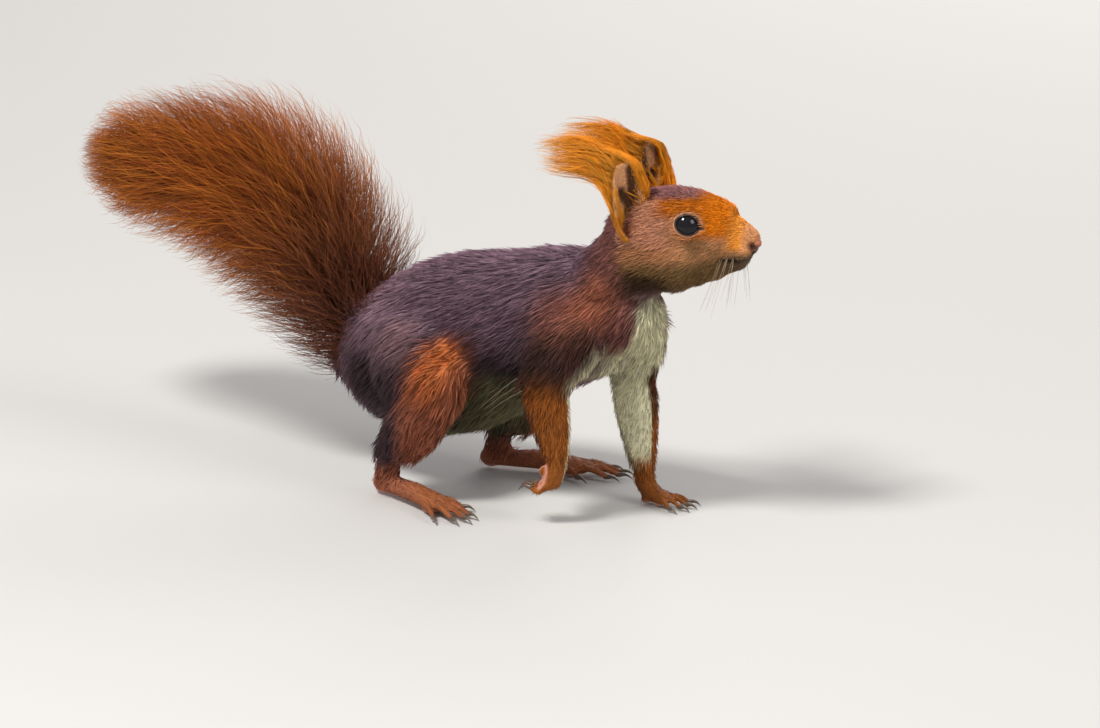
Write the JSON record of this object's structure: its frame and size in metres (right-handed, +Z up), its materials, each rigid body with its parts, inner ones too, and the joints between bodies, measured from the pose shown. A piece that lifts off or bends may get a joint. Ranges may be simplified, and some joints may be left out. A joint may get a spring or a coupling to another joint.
{
  "type": "red squirrel",
  "caption": "Still, life-size red squirrel in a dark brown coat, stepping forward with one forefoot lifted, tail raised and ear tufts blown back.",
  "frame": {"origin": "on the floor, under the middle of the animal's box from the tips of the coat", "axes": "the trunk faces -Y, the animal's left side is towards +X, +Z is up, and the tail reaches back along +Y"},
  "size_m": [0.1026, 0.3157, 0.1541],
  "materials": {
    "coat_back": "fur",
    "coat_red": "fur",
    "coat_head": "short fur",
    "coat_feet": "short fur",
    "tail_hair": "long hair",
    "ear_tuft_hair": "long hair",
    "ear_skin": "satin",
    "eye": "wet gloss",
    "nose_skin": "satin",
    "claw": "satin",
    "whisker": "satin"
  },
  "bodies": {
    "root": {"head": "coat_head", "neck": "coat_back", "chest": "coat_back", "loins": "coat_back", "tail_base": "tail_hair", "tail_middle": "tail_hair", "tail_end": "tail_hair", "thigh_left": "coat_red", "thigh_right": "coat_red", "shank_left": "coat_red", "shank_right": "coat_red", "hind_foot_left": "coat_feet", "hind_foot_right": "coat_feet", "upper_arm_left": "coat_back", "upper_arm_right": "coat_back", "forearm_left": "coat_red", "forearm_right": "coat_red", "forefoot_left": "coat_feet", "forefoot_right": "coat_feet", "ear_left": "ear_skin", "ear_right": "ear_skin", "ear_tuft_left": "ear_tuft_hair", "ear_tuft_right": "ear_tuft_hair", "eye_left": "eye", "eye_right": "eye", "nose": "nose_skin"}
  },
  "joints": []
}
